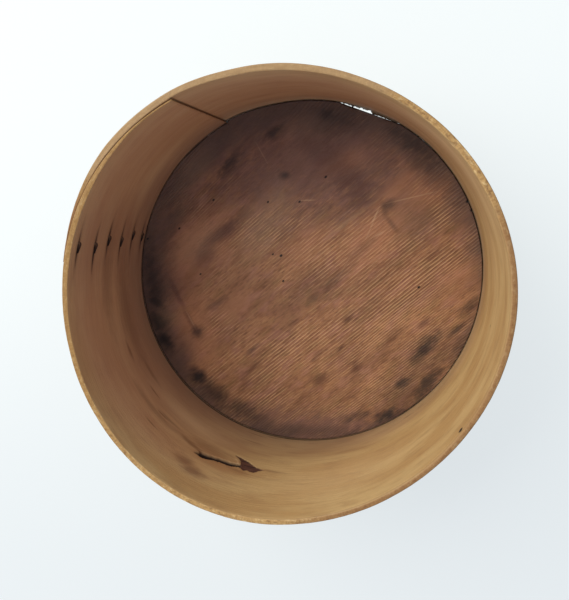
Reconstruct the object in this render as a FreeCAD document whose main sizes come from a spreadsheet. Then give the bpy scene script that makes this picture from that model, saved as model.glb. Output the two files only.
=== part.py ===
"""Round bentwood box without a lid: a lapped wall, a let-in base board and their iron fastenings.

Millimetres and degrees. Z points up out of the mouth, and the origin is the middle of the board's underside.
Turns are angles about Z, counter-clockwise from +X. The wall is one strip that goes round more than once, so a
turn on its outer layer is a full turn more than the same place on its inner layer.
"""

import FreeCAD, Part
import math
import os

from FreeCAD import Placement, Rotation, Vector

# Driving dimensions: name, value, meaning
DIMENSIONS = [
    ("box_width", 240.0, "mean outside width of the wall where it is one layer thick"),
    ("box_height", 114.0, "foot to rim"),
    ("strip_thick", 3.4, "thickness of the wall's strip"),
    ("foot_oval", 5.4, "how much longer the foot is along the board's grain than across it"),
    ("grain_angle", 38.5, "turn of the board's grain"),
    ("rim_flare", 0.45, "how far the wall leans out from foot to rim, all round"),
    ("rim_oval", 9.6, "how much longer the free rim is one way than the other"),
    ("rim_oval_angle", 56.0, "turn of the rim's long way"),
    ("rim_lobe", 1.0, "height of the three-cornered warp of the free rim"),
    ("rim_lobe_angle", 4.0, "turn of one corner of that warp"),
    ("inner_end_angle", 114.7, "turn of the strip's inner end"),
    ("outer_end_angle", 167.5, "turn of the strip's outer end"),
    ("lap_lead_angle", 18.0, "how far before the inner end the outer layer starts to rise"),
    ("lap_step", 1.4, "how far the outer layer has risen where it passes the inner end"),
    ("inner_scarf_angle", 42.0, "turn over which the inner end is thinned"),
    ("outer_scarf_angle", 33.0, "turn over which the outer end is thinned"),
    ("outer_end_thick", 0.7, "thickness left at the outer end"),
    ("lap_clearance", 0.2, "gap between the layers of the lap"),
    ("lap_gape", 0.5, "extra gap at the inner end, where the layers have sprung apart"),
    ("board_thick", 7.0, "thickness of the base board"),
    ("board_clearance", 0.3, "gap between the board's edge and the wall"),
    ("flat_length", 42.0, "length of the straight run on the board's edge"),
    ("flat_angle", 68.0, "turn of the middle of that run"),
    ("tack_head_width", 6.4, "width of a tack's head"),
    ("tack_head_height", 1.1, "height of a tack's domed head"),
    ("tack_head_edge", 0.3, "thickness of that head at its edge"),
    ("tack_shank", 1.8, "side of a tack's square shank under the head"),
    ("tack_tip", 0.6, "side of a tack's shank at its tip"),
    ("tack_bend", 0.25, "inner radius of the bend where a tack is clenched"),
    ("tack_clench", 6.0, "reach of a tack's point along the inside of the wall"),
    ("tack_clearance", 0.08, "gap between a tack and the wood"),
    ("tack_row_angle", 162.7, "turn of the row of tacks"),
    ("tack_stagger", 1.4, "how far each tack stands to one side of that row"),
    ("brad_length", 19.0, "length of a brad under its head"),
    ("brad_shank", 1.6, "side of a brad's square shank under the head"),
    ("brad_tip", 0.7, "side of a brad's shank at its tip"),
    ("brad_head_width", 3.4, "width of a brad's head along the foot"),
    ("brad_head_depth", 2.4, "width of a brad's head from foot to rim"),
    ("brad_head_height", 0.7, "height of a brad's head"),
    ("brad_clearance", 0.06, "gap between a brad and the wood"),
    ("overrun", 5.0, "how far a cutter runs past what it cuts"),
]

# Heights of the tacks as shares of the wall's height
TACK_HEIGHT_SHARES = (0.122, 0.269, 0.425, 0.596, 0.749, 0.936)

# How far a tack's shank has tapered at each section: under the head, before, in and after the bend, at the tip
TACK_TAPER_SHARES = (0.0, 0.45, 0.5, 0.55, 1.0)

# Places of the brads round the foot as shares of a turn: one pair close together, and none at the straight run
BRAD_TURN_SHARES = (
    0.060, 0.0686, 0.139, 0.262, 0.326, 0.397, 0.469,
    0.545, 0.612, 0.681, 0.752, 0.826, 0.876, 0.943,
)

FULL_TURN = 360

# Spans that the curve of a strip's face is made in, and the steps between its points in each
FACE_SPAN_COUNT = 12
SPAN_STEP_COUNT = 7

doc = FreeCAD.newDocument("bentwood_box")
sheet = doc.addObject("Spreadsheet::Sheet", "sizes")
for row, (name, value, meaning) in enumerate(DIMENSIONS, start=1):
    sheet.set(f"A{row}", name)
    sheet.set(f"B{row}", str(value))
    sheet.setAlias(f"B{row}", name)
    sheet.set(f"C{row}", meaning)
doc.recompute()


def size(name):
    """Value of a driving dimension."""
    return float(getattr(sheet, name))


# Bodies, sketches and cutters


def new_body(name):
    """PartDesign body whose label names its file."""
    body = doc.addObject("PartDesign::Body", name)
    body.Label = name
    return body


def new_sketch(body, name, role="XY_Plane"):
    """Sketch on one of the body's own origin planes."""
    sketch = body.newObject("Sketcher::SketchObject", name)
    plane = [feature for feature in body.Origin.OriginFeatures if feature.Role == role]
    sketch.AttachmentSupport = [(plane[0], "")]
    sketch.MapMode = "FlatFace"
    return sketch


def add_outline(sketch, corners):
    """Closed run of straight lines."""
    for first, second in zip(corners, corners[1:] + corners[:1]):
        sketch.addGeometry(Part.LineSegment(first, second))


def square(side):
    """Corners of a square about the middle of its sketch."""
    return [Vector(x * side / 2, y * side / 2, 0) for x, y in ((-1, -1), (1, -1), (1, 1), (-1, 1))]


def add_shank(body, name, sections):
    """Square tapered shank through sections, each a place in the body's own frame and a side."""
    sketches = []
    for number, (place, side) in enumerate(sections, start=1):
        sketch = new_sketch(body, f"{name}_section_{number}")
        sketch.AttachmentOffset = place
        add_outline(sketch, square(side))
        sketches.append(sketch)
    doc.recompute()
    shank = body.newObject("PartDesign::AdditiveLoft", name)
    shank.Profile = sketches[0]
    shank.Sections = sketches[1:]
    shank.Ruled = True


def cut_square_hole(body, name, seat, fastener, depth):
    """Square hole for a tack or a brad, from outside the seat of its head to a depth under it."""
    side = size(f"{fastener}_shank") + 2 * size(f"{fastener}_clearance")
    hole = body.newObject("PartDesign::SubtractiveBox", name)
    hole.setExpression("Length", f"sizes.{fastener}_shank + 2 * sizes.{fastener}_clearance")
    hole.setExpression("Width", f"sizes.{fastener}_shank + 2 * sizes.{fastener}_clearance")
    hole.Height = depth + size("overrun")
    hole.Placement = seat * Placement(Vector(-side / 2, -side / 2, -depth), Rotation())
    hole.Refine = False


# The wall's outline


def smooth(share):
    """Rise from 0 to 1 that starts and ends level."""
    share = min(max(share, 0.0), 1.0)
    return share * share * (3 - 2 * share)


def wave(turn, lobes, peak):
    """Out-of-round term with so many lobes, the highest at a given turn."""
    return math.cos(math.radians(lobes * (turn - peak)))


def inside_radius(turn, level):
    """Radius of the wall's inside; level is 0 at the foot and 1 at the rim."""
    mean = size("box_width") / 2 - size("strip_thick")
    foot = size("foot_oval") / 4 * wave(turn, 2, size("grain_angle"))
    rim = size("rim_flare") + size("rim_oval") / 4 * wave(turn, 2, size("rim_oval_angle"))
    rim += size("rim_lobe") * wave(turn, 3, size("rim_lobe_angle"))
    return mean + (1 - level) * foot + level * rim


def lift(turn):
    """How far the strip stands off the wall's inside: none, a step over the inner end, then up its scarf."""
    end = FULL_TURN + size("inner_end_angle")
    step = size("lap_step")
    rise = size("strip_thick") + size("lap_clearance") - step
    lead = size("lap_lead_angle")
    return step * smooth((turn - end + lead) / lead) + rise * smooth((turn - end) / size("inner_scarf_angle"))


def inner_layer_thickness(turn):
    """Thickness of the lap's inner layer, thinned to fill what the outer layer leaves under it."""
    sprung = 1 - smooth((turn - size("inner_end_angle")) / size("lap_lead_angle"))
    gap = size("lap_clearance") + size("lap_gape") * sprung
    return min(size("strip_thick"), lift(turn + FULL_TURN) - gap)


def thickness(turn):
    """Thickness of the strip, which is thinned at both ends."""
    if turn < size("outer_end_angle"):
        return inner_layer_thickness(turn)
    to_end = FULL_TURN + size("outer_end_angle") - turn
    thinned = max(1 - to_end / size("outer_scarf_angle"), 0.0)
    return size("strip_thick") - (size("strip_thick") - size("outer_end_thick")) * thinned


def strip_point(turn, level, outside):
    """Point on the strip's inner or outer face, at a level from foot to rim."""
    radius = inside_radius(turn, level) + lift(turn)
    if outside:
        radius += thickness(turn)
    angle = math.radians(turn)
    return Vector(radius * math.cos(angle), radius * math.sin(angle), level * size("box_height"))


def outermost_turn(turn):
    """The strip's own turn, on its outermost layer, for a place round the box."""
    return turn + FULL_TURN if turn <= size("outer_end_angle") else turn


def seat_place(turn, height, clearance):
    """Where a head seats on the wall's outside: Z out of the wood, X on along the strip."""
    level = height / size("box_height")
    along = strip_point(turn + 1, level, True) - strip_point(turn - 1, level, True)
    up = strip_point(turn, 1, True) - strip_point(turn, 0, True)
    out = along.cross(up).normalize()
    along.normalize()
    place = strip_point(turn, level, True) + out * clearance
    return Placement(place, Rotation(along, out.cross(along), out, "ZXY"))


# The wall


def strip_face(level, outside):
    """Smooth curve along one face of the strip, from its inner end to its outer end, as a chain of spans."""
    start = size("inner_end_angle")
    sweep = FULL_TURN + size("outer_end_angle") - start
    steps = FACE_SPAN_COUNT * SPAN_STEP_COUNT
    points = []
    for step in range(steps + 1):
        point = strip_point(start + sweep * step / steps, level, outside)
        points.append(Vector(point.x, point.y, 0))
    curve = Part.BSplineCurve()
    curve.interpolate(Points=points, Parameters=[float(step) for step in range(steps + 1)])
    spans = []
    for first in range(0, steps, SPAN_STEP_COUNT):
        span = curve.copy()
        span.segment(first, first + SPAN_STEP_COUNT)
        spans.append(span)
    return spans


def strip_sketch(body, name, level):
    """Plan of the whole strip at one level: its two faces and two ends."""
    sketch = new_sketch(body, name)
    inner = strip_face(level, False)
    outer = strip_face(level, True)
    sketch.addGeometry(inner)
    sketch.addGeometry(Part.LineSegment(inner[-1].EndPoint, outer[-1].EndPoint))
    sketch.addGeometry(outer)
    sketch.addGeometry(Part.LineSegment(outer[0].StartPoint, inner[0].StartPoint))
    return sketch


def make_side_band():
    """Strip bent round and lapped over itself, from its foot to its wider warped rim, with its holes."""
    body = new_body("side_band")
    foot = strip_sketch(body, "strip_at_foot", 0)
    rim = strip_sketch(body, "strip_at_rim", 1)
    rim.setExpression(".AttachmentOffset.Base.z", "sizes.box_height")
    doc.recompute()
    strip = body.newObject("PartDesign::AdditiveLoft", "bent_strip")
    strip.Profile = foot
    strip.Sections = [rim]
    strip.Ruled = True
    strip.Refine = False

    for index in range(len(TACK_HEIGHT_SHARES)):
        depth = tack_grip(index) + size("overrun")
        cut_square_hole(body, f"tack_hole_{index + 1}", tack_place(index), "tack", depth)
    for index in range(len(BRAD_TURN_SHARES)):
        cut_square_hole(body, f"brad_hole_{index + 1}", brad_place(index), "brad", brad_reach())
    return body


# The board


def make_base_board():
    """Board let into the foot, oval by shrinking across its grain, with a straight run on its edge."""
    body = new_body("base_board")
    sketch = new_sketch(body, "board_outline")
    mean = size("box_width") / 2 - size("strip_thick") - size("board_clearance")
    grain = Rotation(Vector(0, 0, 1), size("grain_angle"))
    along = grain.multVec(Vector(mean + size("foot_oval") / 4, 0, 0))
    across = grain.multVec(Vector(0, mean - size("foot_oval") / 4, 0))
    sketch.addGeometry(Part.Ellipse(along, across, Vector(0, 0, 0)))
    board = body.newObject("PartDesign::Pad", "board")
    board.Profile = sketch
    board.setExpression("Length", "sizes.board_thick")
    doc.recompute()

    half_run = size("flat_length") / 2
    radius = inside_radius(size("flat_angle"), 0) - size("board_clearance")
    reach = math.sqrt(radius * radius - half_run * half_run)
    flat = body.newObject("PartDesign::SubtractiveBox", "straight_run")
    flat.setExpression("Length", "sizes.overrun")
    flat.setExpression("Width", "sizes.flat_length + 2 * sizes.overrun")
    flat.setExpression("Height", "sizes.board_thick + 2 * sizes.overrun")
    turned = Placement(Vector(0, 0, 0), Rotation(Vector(0, 0, 1), size("flat_angle")))
    corner = Vector(reach, -half_run - size("overrun"), -size("overrun"))
    flat.Placement = turned * Placement(corner, Rotation())

    for index in range(len(BRAD_TURN_SHARES)):
        cut_square_hole(body, f"edge_hole_{index + 1}", brad_place(index), "brad", brad_reach())
    return body


# The tacks


def tack_turn(index):
    """Turn of a tack on the outer layer; the tacks stand to either side of their row by turns."""
    side = 1 if index % 2 == 0 else -1
    off = math.degrees(side * size("tack_stagger") / (size("box_width") / 2))
    return FULL_TURN + size("tack_row_angle") + off


def tack_place(index):
    """Seat of a tack's head on the outside of the lap."""
    height = TACK_HEIGHT_SHARES[index] * size("box_height")
    return seat_place(tack_turn(index), height, size("tack_clearance"))


def tack_grip(index):
    """Depth of wood under a tack's head: both layers of the lap and the gap between them."""
    return lift(tack_turn(index)) + thickness(tack_turn(index))


def clench_rest(index):
    """Where a tack's point comes to rest on the inside of the wall, in the tack's own frame."""
    reach = math.degrees(size("tack_clench") / (size("box_width") / 2))
    turn = tack_turn(index) - FULL_TURN + reach
    return tack_place(index).inverse().multVec(strip_point(turn, TACK_HEIGHT_SHARES[index], False))


def shank_sections(index):
    """Places and widths of a shank's sections: straight through the wood, round the bend, along the inside."""
    widths = [size("tack_shank") + (size("tack_tip") - size("tack_shank")) * share for share in TACK_TAPER_SHARES]
    depth = tack_grip(index) + 2 * size("tack_clearance")
    swing = size("tack_bend") + widths[2] / 2
    spots = [(Vector(0, 0, 0), 0)]
    for angle in (0, 45, 90):
        round_bend = math.radians(angle)
        spot = Vector(swing - swing * math.cos(round_bend), 0, -depth - swing * math.sin(round_bend))
        spots.append((spot, angle))
    spots.append((clench_rest(index) - Vector(0, 0, size("tack_clearance") + size("tack_tip") / 2), 90))
    places = [Placement(spot, Rotation(Vector(0, 1, 0), -angle)) for spot, angle in spots]
    return list(zip(places, widths))


def make_tack(index):
    """Hand-made tack: a low domed head and a square tapered shank, clenched over on the inside."""
    body = new_body(f"lap_tack_{index + 1}")
    half = size("tack_head_width") / 2
    edge = size("tack_head_edge")
    top = size("tack_head_height")
    dome = (half * half + (top - edge) ** 2) / (2 * (top - edge))
    profile = new_sketch(body, f"tack_head_{index + 1}", "XZ_Plane")
    profile.addGeometry(Part.LineSegment(Vector(0, top, 0), Vector(0, 0, 0)))
    profile.addGeometry(Part.LineSegment(Vector(0, 0, 0), Vector(half, 0, 0)))
    profile.addGeometry(Part.LineSegment(Vector(half, 0, 0), Vector(half, edge, 0)))
    circle = Part.Circle(Vector(0, top - dome, 0), Vector(0, 0, 1), dome)
    profile.addGeometry(Part.ArcOfCircle(circle, math.acos(half / dome), math.pi / 2))
    head = body.newObject("PartDesign::Revolution", f"tack_dome_{index + 1}")
    head.Profile = profile
    head.ReferenceAxis = (profile, ["V_Axis"])
    head.Angle = FULL_TURN
    add_shank(body, f"tack_shank_{index + 1}", shank_sections(index))
    body.Placement = tack_place(index)
    return body


# The brads


def brad_place(index):
    """Seat of a brad's head on the foot of the wall, half way up the board's edge."""
    turn = outermost_turn(FULL_TURN * BRAD_TURN_SHARES[index])
    return seat_place(turn, size("board_thick") / 2, size("brad_clearance"))


def brad_reach():
    """Depth of a brad's hole under its head."""
    return size("brad_length") + size("brad_clearance")


def make_brad(index):
    """Cut brad: a small flat head and a square tapered shank, driven through the wall into the board's edge."""
    body = new_body(f"base_brad_{index + 1}")
    head = body.newObject("PartDesign::AdditiveBox", f"brad_head_{index + 1}")
    head.setExpression("Length", "sizes.brad_head_width")
    head.setExpression("Width", "sizes.brad_head_depth")
    head.setExpression("Height", "sizes.brad_head_height")
    head.Placement = Placement(Vector(-size("brad_head_width") / 2, -size("brad_head_depth") / 2, 0), Rotation())
    tip = Placement(Vector(0, 0, -size("brad_length")), Rotation())
    sections = [(Placement(), size("brad_shank")), (tip, size("brad_tip"))]
    add_shank(body, f"brad_shank_{index + 1}", sections)
    body.Placement = brad_place(index)
    return body


# Build, check and write


def check_document():
    """Stop if a feature failed or a cutter removed nothing."""
    for feature in doc.Objects:
        if "Invalid" in feature.State or "Error" in feature.State:
            raise RuntimeError(f"{feature.Name}: {feature.State}")
        if feature.TypeId.startswith("PartDesign::Subtractive"):
            if feature.Shape.Volume >= feature.BaseFeature.Shape.Volume:
                raise RuntimeError(f"{feature.Name} cuts nothing")


def write_part(body):
    """Write a checked solid to its own file."""
    shape = body.Shape
    if shape.isNull() or not shape.isValid() or len(shape.Solids) != 1:
        raise RuntimeError(f"{body.Label} isn't one valid solid")
    shape.exportStep(f"parts/{body.Label}.step")
    box = shape.BoundBox
    print(f"{body.Label}: {shape.Volume:.1f} mm3, {box.XLength:.1f} x {box.YLength:.1f} x {box.ZLength:.1f} mm")


parts = [make_side_band(), make_base_board()]
parts += [make_tack(index) for index in range(len(TACK_HEIGHT_SHARES))]
parts += [make_brad(index) for index in range(len(BRAD_TURN_SHARES))]
doc.recompute()
check_document()
os.makedirs("parts", exist_ok=True)
for part in parts:
    write_part(part)
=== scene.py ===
"""Looks of an old round bentwood box, seen from above its open mouth.

Metres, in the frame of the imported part: Z points up out of the mouth, and the origin is the middle of the
board's underside. Turns are degrees about Z, counter-clockwise from +X. The wall is one strip that goes round
more than once, so a turn on its outer layer is a full turn more than the same place on its inner layer.
"""

import math

import bpy
import numpy as np
from mathutils import Matrix, Vector


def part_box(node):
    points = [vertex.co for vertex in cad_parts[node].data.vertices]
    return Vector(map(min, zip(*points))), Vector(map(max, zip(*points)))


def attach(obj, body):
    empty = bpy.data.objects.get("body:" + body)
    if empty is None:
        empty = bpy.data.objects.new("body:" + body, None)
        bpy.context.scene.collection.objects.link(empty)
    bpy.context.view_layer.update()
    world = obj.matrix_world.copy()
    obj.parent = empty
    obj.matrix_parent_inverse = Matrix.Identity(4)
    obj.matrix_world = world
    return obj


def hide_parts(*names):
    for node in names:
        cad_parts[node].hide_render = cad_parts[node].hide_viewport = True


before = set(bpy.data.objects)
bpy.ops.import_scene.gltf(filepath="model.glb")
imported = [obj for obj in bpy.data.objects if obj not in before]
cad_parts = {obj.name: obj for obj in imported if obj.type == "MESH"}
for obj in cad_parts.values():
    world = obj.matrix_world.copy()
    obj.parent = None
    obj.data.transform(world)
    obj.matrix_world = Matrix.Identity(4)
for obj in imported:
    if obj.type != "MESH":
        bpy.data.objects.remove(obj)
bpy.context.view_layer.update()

MM = 0.001
FULL_TURN = 360

# The strip that the wall is bent from

WALL_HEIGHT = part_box("side_band")[1].z
BOX_WIDTH = 240 * MM
STRIP_THICK = 3.4 * MM
INSIDE_MEAN = BOX_WIDTH / 2 - STRIP_THICK
FOOT_OVAL = 5.4 * MM
GRAIN_ANGLE = 38.5
RIM_FLARE = 0.45 * MM
RIM_OVAL = 9.6 * MM
RIM_OVAL_ANGLE = 56
RIM_LOBE = 1.0 * MM
RIM_LOBE_ANGLE = 4

# Its lap

INNER_END = 114.7
INNER_END_LEAN = 0.5
LEAN_RUN = 3
INNER_SCARF = 42
OUTER_END = 167.5
OUTER_SCARF = 33
OUTER_END_THICK = 0.7 * MM
LAP_LEAD = 18
LAP_STEP = 1.4 * MM
LAP_GAP = 0.2 * MM
LAP_GAPE = 0.5 * MM

# The board

BOARD_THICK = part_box("base_board")[1].z
BOARD_GAP = 0.3 * MM
FLAT_LENGTH = 42 * MM
FLAT_ANGLE = 68

# Seeds of the noises that shape the pieces
SEEDS = {"rim": 3, "wall": 5, "gash": 7, "foot": 11, "ribs": 13, "board": 17}


# Noise and easing

NOISE_TABLE = 8192
NOISE_STRIDES = (73856093, 19349663, 83492791)
LAYER_SHIFT = 17.3


def ease(share):
    """Rise from 0 to 1 that starts and ends level."""
    share = np.clip(share, 0, 1)
    return share * share * (3 - 2 * share)


def lumps(axes, seed, layers=1):
    """Smooth noise from -1 to 1, one lump per unit of each axis; each further layer is finer and weaker."""
    places = np.stack(axes, -1)
    table = np.random.default_rng(seed).uniform(-1, 1, NOISE_TABLE)
    strides = np.array(NOISE_STRIDES)[: places.shape[-1]]
    total = np.zeros(places.shape[:-1])
    for layer in range(layers):
        scaled = places * 2.0**layer + LAYER_SHIFT * layer
        low = np.floor(scaled).astype(np.int64)
        part = ease(scaled - low)
        for corner in np.ndindex(*(2,) * places.shape[-1]):
            cell = np.bitwise_xor.reduce((low + corner) * strides, axis=-1)
            share = np.prod(np.where(corner, part, 1 - part), axis=-1)
            total += table[cell % len(table)] * share / 2**layer
    return total


def swells(along, across, sizes, seed):
    """Uneven heights over a face, from the length, the width and the height of one swell."""
    length, width, height = sizes
    return lumps([along / length, across / width], seed, 2) * height


def steps_between(marks):
    """Rising values through (value, spacing after it) marks, in even steps of about that spacing."""
    values = [marks[0][0]]
    for (low, spacing), (high, _) in zip(marks, marks[1:]):
        count = max(round((high - low) / spacing), 1)
        values += [low + (high - low) * step / count for step in range(1, count + 1)]
    return np.array(values)


# The wall's outline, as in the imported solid


def wave(turn, lobes, peak):
    """Out-of-round term with so many lobes, the highest at a given turn."""
    return np.cos(np.radians(lobes * (turn - peak)))


def side_share(turn, side):
    """1 on the side at a given turn and 0 opposite it."""
    return 0.5 + 0.5 * wave(turn, 1, side)


def stretch(turn, start, rise, end, fall):
    """1 in a stretch of turns, easing in over the rise at its start and out over the fall at its end."""
    return ease((turn - start) / rise) * ease((end - turn) / fall)


def inside_radius(turn, level):
    """Radius of the wall's inside; level is 0 at the foot and 1 at the rim."""
    foot = FOOT_OVAL / 4 * wave(turn, 2, GRAIN_ANGLE)
    rim = RIM_FLARE + RIM_OVAL / 4 * wave(turn, 2, RIM_OVAL_ANGLE) + RIM_LOBE * wave(turn, 3, RIM_LOBE_ANGLE)
    return INSIDE_MEAN + (1 - level) * foot + level * rim


def lift(turn):
    """How far the strip stands off the wall's inside, up onto its own inner layer."""
    past_end = turn - FULL_TURN - INNER_END
    on_lap = STRIP_THICK + LAP_GAP - LAP_STEP
    return LAP_STEP * ease(past_end / LAP_LEAD + 1) + on_lap * ease(past_end / INNER_SCARF)


def thickness(turn):
    """Thickness of the strip, which is thinned at both ends."""
    sprung = LAP_GAPE * (1 - ease((turn - INNER_END) / LAP_LEAD))
    inner = np.minimum(STRIP_THICK, lift(turn + FULL_TURN) - LAP_GAP - sprung)
    thinned = np.clip(1 - (FULL_TURN + OUTER_END - turn) / OUTER_SCARF, 0, 1)
    outer = STRIP_THICK - (STRIP_THICK - OUTER_END_THICK) * thinned
    return np.where(turn < OUTER_END, inner, outer)


def along_strip(turn):
    """Length along the strip at a turn, which the wood's grain follows."""
    return np.radians(turn) * INSIDE_MEAN


def on_inside(angle, height):
    """Strip place (along, up, 0) of a mark on the wall's inside, from its angle and its height in mm."""
    turn = angle if angle > INNER_END else angle + FULL_TURN
    return (float(along_strip(turn)), height * MM, 0.0)


def on_outside(node):
    """Strip place of the spot on the wall's outside where a tack or a brad goes in."""
    low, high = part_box(node)
    middle = (low + high) / 2
    angle = math.degrees(math.atan2(middle.y, middle.x)) % FULL_TURN
    turn = angle + FULL_TURN if angle < OUTER_END else angle
    return (float(along_strip(turn)), middle.z, 0.0)


def on_board(x, y):
    """Board place (along the grain, across it, 0) of a point in millimetres."""
    turn = math.radians(GRAIN_ANGLE)
    along = x * math.cos(turn) + y * math.sin(turn)
    across = y * math.cos(turn) - x * math.sin(turn)
    return (along * MM, across * MM, 0.0)


# Meshes


def new_piece(name, points, faces, node):
    """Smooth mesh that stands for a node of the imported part."""
    mesh = bpy.data.meshes.new(name)
    mesh.from_pydata(points.tolist(), [], faces)
    mesh.validate()
    mesh.shade_smooth()
    piece = bpy.data.objects.new(name, mesh)
    bpy.context.scene.collection.objects.link(piece)
    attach(piece, "root")
    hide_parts(node)
    return piece


def keep_values(mesh, name, values):
    """Store one number or one vector per point for the material to read."""
    kind = "FLOAT" if values.ndim == 1 else "FLOAT_VECTOR"
    field = "value" if values.ndim == 1 else "vector"
    mesh.attributes.new(name, kind, "POINT").data.foreach_set(field, values.astype(np.float32).ravel())


def grid_faces(columns, rows, ring):
    """Quads of a grid whose points run down each column; a ring joins the two ends of each column."""
    faces = []
    for column in range(columns - 1):
        for row in range(rows if ring else rows - 1):
            after = (row + 1) % rows
            here, there = column * rows, (column + 1) * rows
            faces.append((here + row, there + row, there + after, here + after))
    return faces


# The wall

RIM_ROUND_LEAST = 0.5 * MM
RIM_ROUND_MOST = 1.9 * MM
RIM_ROUND_TURN = 340
OUTER_ROUND = 0.55 * MM
FOOT_ROUND = 0.5 * MM
INNER_ROUND_SHARE = 0.55
OUTER_ROUND_SHARE = 0.3
ARRIS_STEPS = (0, 22, 45, 68, 90)
EDGE_SHARES = (0.12, 0.3, 0.5, 0.7, 0.88)
INSIDE_ROWS = ((0, 1.2 * MM), (8 * MM, 3 * MM), (47 * MM, 0.7 * MM), (73 * MM, 3 * MM), (105 * MM, 1.0 * MM))
OUTSIDE_ROWS = ((0, 1.5 * MM), (9 * MM, 6 * MM), (105 * MM, 1.5 * MM))

# Turns between which the columns of the wall's mesh are finer: the split, the slit and the crumbled rim
TURN_STEPS = ((INNER_END, 0.9), (235, 0.22), (262, 0.9), (376, 0.45), (416.6, 0.2), (440.4, 0.9))

# Length, height and depth of the long waves that bending leaves, and of the fibres that stand proud
LONG_WAVE = (38 * MM, 30 * MM, 0.12 * MM)
FIBRE = (14 * MM, 1.3 * MM, 0.035 * MM)
FACES_APART = 9

# Wear of the rim, and the drop of its edge where the outer end thins away
RIM_WEAR = 0.1 * MM
WEAR_REACH = 2.4 * MM
WORN_LENGTH = 9 * MM
WORN_WIDTH = 2 * MM
CRUMB_LENGTH = 1.9 * MM
CRUMB_WIDTH = 1.6 * MM
CRUMB_LEAST = 0.15
CRUMB_LOWEST = -0.2
BITE_DEPTH = 0.5 * MM
DROP_TURN = FULL_TURN + 138
DROP_RUN = 24
DROP = 1.3 * MM
DROP_REACH = 8 * MM

# Stretches of the rim, as (start, rise, end, fall) in turns: crumbled, dusty, and darkened by hands
CRUMBLED = (378, 10, 426, 14)
DUSTY = (414, 12, 512, 14)
HANDLED = (266, 22, 392, 16)
HANDLED_SHARE = 0.8
HANDLED_LAP_TURN = FULL_TURN + 143
HANDLED_LAP_RUN = 14

# How sharply the rim's rounding and the foot's dark gather on their own sides
SIDE_POWER = 1.5

# Sides of the wall's inside that are ruddy and dark, and how high the dark of the foot reaches; the ruddy tint
# of the inside, on the side turned from the key lamp, is painted colour of its shade
RUDDY_TURN = 140
DARK_TURN = 205
DARK_LEAST = 28 * MM
DARK_MORE = 50 * MM

# The split in the wall's inside, as (angle, height in mm): a gash, the flake lost beside it and its lip
GASH_LINE = (
    (238.3, 69.2), (240.2, 67.6), (242.1, 66.1), (243.7, 64.7), (245.5, 63.5), (247.4, 63.1), (249.2, 62.7),
    (251.5, 61.0),
)
GASH_WIDTHS = (0.8, 3.4, 2.8, 2.5, 2.3, 2.4, 2.5, 2.0)
FLAKE_OUTLINE = (
    (249.1, 49.9), (251.0, 50.0), (253.1, 51.6), (255.5, 54.6), (257.2, 57.3), (259.6, 57.9), (258.1, 60.9),
    (256.9, 64.4), (254.8, 63.4), (253.6, 65.0), (252.5, 63.0), (251.5, 61.3), (252.0, 57.7), (251.5, 54.5),
    (250.4, 52.0),
)
LIP_LINE = ((248.6, 60.9), (250.3, 60.3), (251.2, 58.4), (250.9, 56.0), (249.9, 54.6))
LIP_WIDTH = 1.0 * MM
GASH_DEPTH = 1.5 * MM
FLAKE_DEPTH = 0.55 * MM
LIP_RISE = 0.3 * MM
GASH_HALF_SHARE = 0.55
FLAKE_EDGE = 0.3 * MM
SPLIT_RAGGED = (1.6 * MM, 0.9 * MM, 0.3 * MM)

# Width of the slit between the wall's foot and the straight run on the board's edge, as (turn, mm)
SLIT_WIDTHS = (
    (57.8, 0.3), (59.0, 0.3), (59.6, 0.5), (60.4, 0.5), (63.0, 0.6), (65.3, 0.6), (66.0, 0.2), (66.6, 0.9),
    (67.2, 1.9), (68.6, 1.9), (70.5, 1.5), (72.3, 1.3), (73.0, 0.4), (73.8, 1.0), (76.5, 0.7), (77.4, 0.4),
    (78.4, 0.3),
)
SLIT_TUFTS = (0.9 * MM, 4 * MM, 0.55 * MM)
SLIT_LEAST = 0.4 * MM
SLIT_REACH = 5 * MM


def ring_section():
    """Closed section of the strip, each point as eight numbers.

    They are its parts of the inner and the outer rounding and of the thickness, which make its depth, then its
    height with its parts of the two roundings, and how far it is on the rim and on the outside.
    """
    inside = steps_between((*INSIDE_ROWS, (WALL_HEIGHT - RIM_ROUND_MOST, 1)))
    outside = steps_between((*OUTSIDE_ROWS, (WALL_HEIGHT, 1)))
    angles = np.radians(ARRIS_STEPS)
    bends = [(1 - math.cos(angle), math.sin(angle) - 1, angle / (math.pi / 2)) for angle in angles]
    points = [(0, 0, 0, height, 0, 0, 0, 0) for height in inside[1:-1]]
    points += [(into, 0, 0, WALL_HEIGHT, drop, 0, rim, 0) for into, drop, rim in bends]
    points += [(1 - share, -share, share, WALL_HEIGHT, 0, 0, 1, share) for share in EDGE_SHARES]
    points += [(0, -into, 1, WALL_HEIGHT, 0, drop, rim, 1) for into, drop, rim in bends[::-1]]
    points += [(0, 0, 1, height, 0, 0, 0, 1) for height in outside[-2:0:-1]]
    points += [(0, -into, 1, 0, 0, -drop, 0, 1) for into, drop, _ in bends]
    points += [(1 - share, -share, share, 0, 0, 0, 0, share) for share in EDGE_SHARES[::-1]]
    points += [(into, 0, 0, 0, -drop, 0, 0, 0) for into, drop, _ in bends[::-1]]
    return np.array(points).T


def from_line(along, up, line):
    """Distance of each place from a line, and where the nearest part is, counted in points of the line."""
    nearest = np.full(along.shape, np.inf)
    where = np.zeros(along.shape)
    for number, (first, second) in enumerate(zip(line, line[1:])):
        run = np.subtract(second, first)
        share = np.clip(((along - first[0]) * run[0] + (up - first[1]) * run[1]) / (run @ run), 0, 1)
        distance = np.hypot(along - first[0] - share * run[0], up - first[1] - share * run[1])
        where = np.where(distance < nearest, number + share, where)
        nearest = np.minimum(nearest, distance)
    return nearest, where


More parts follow.
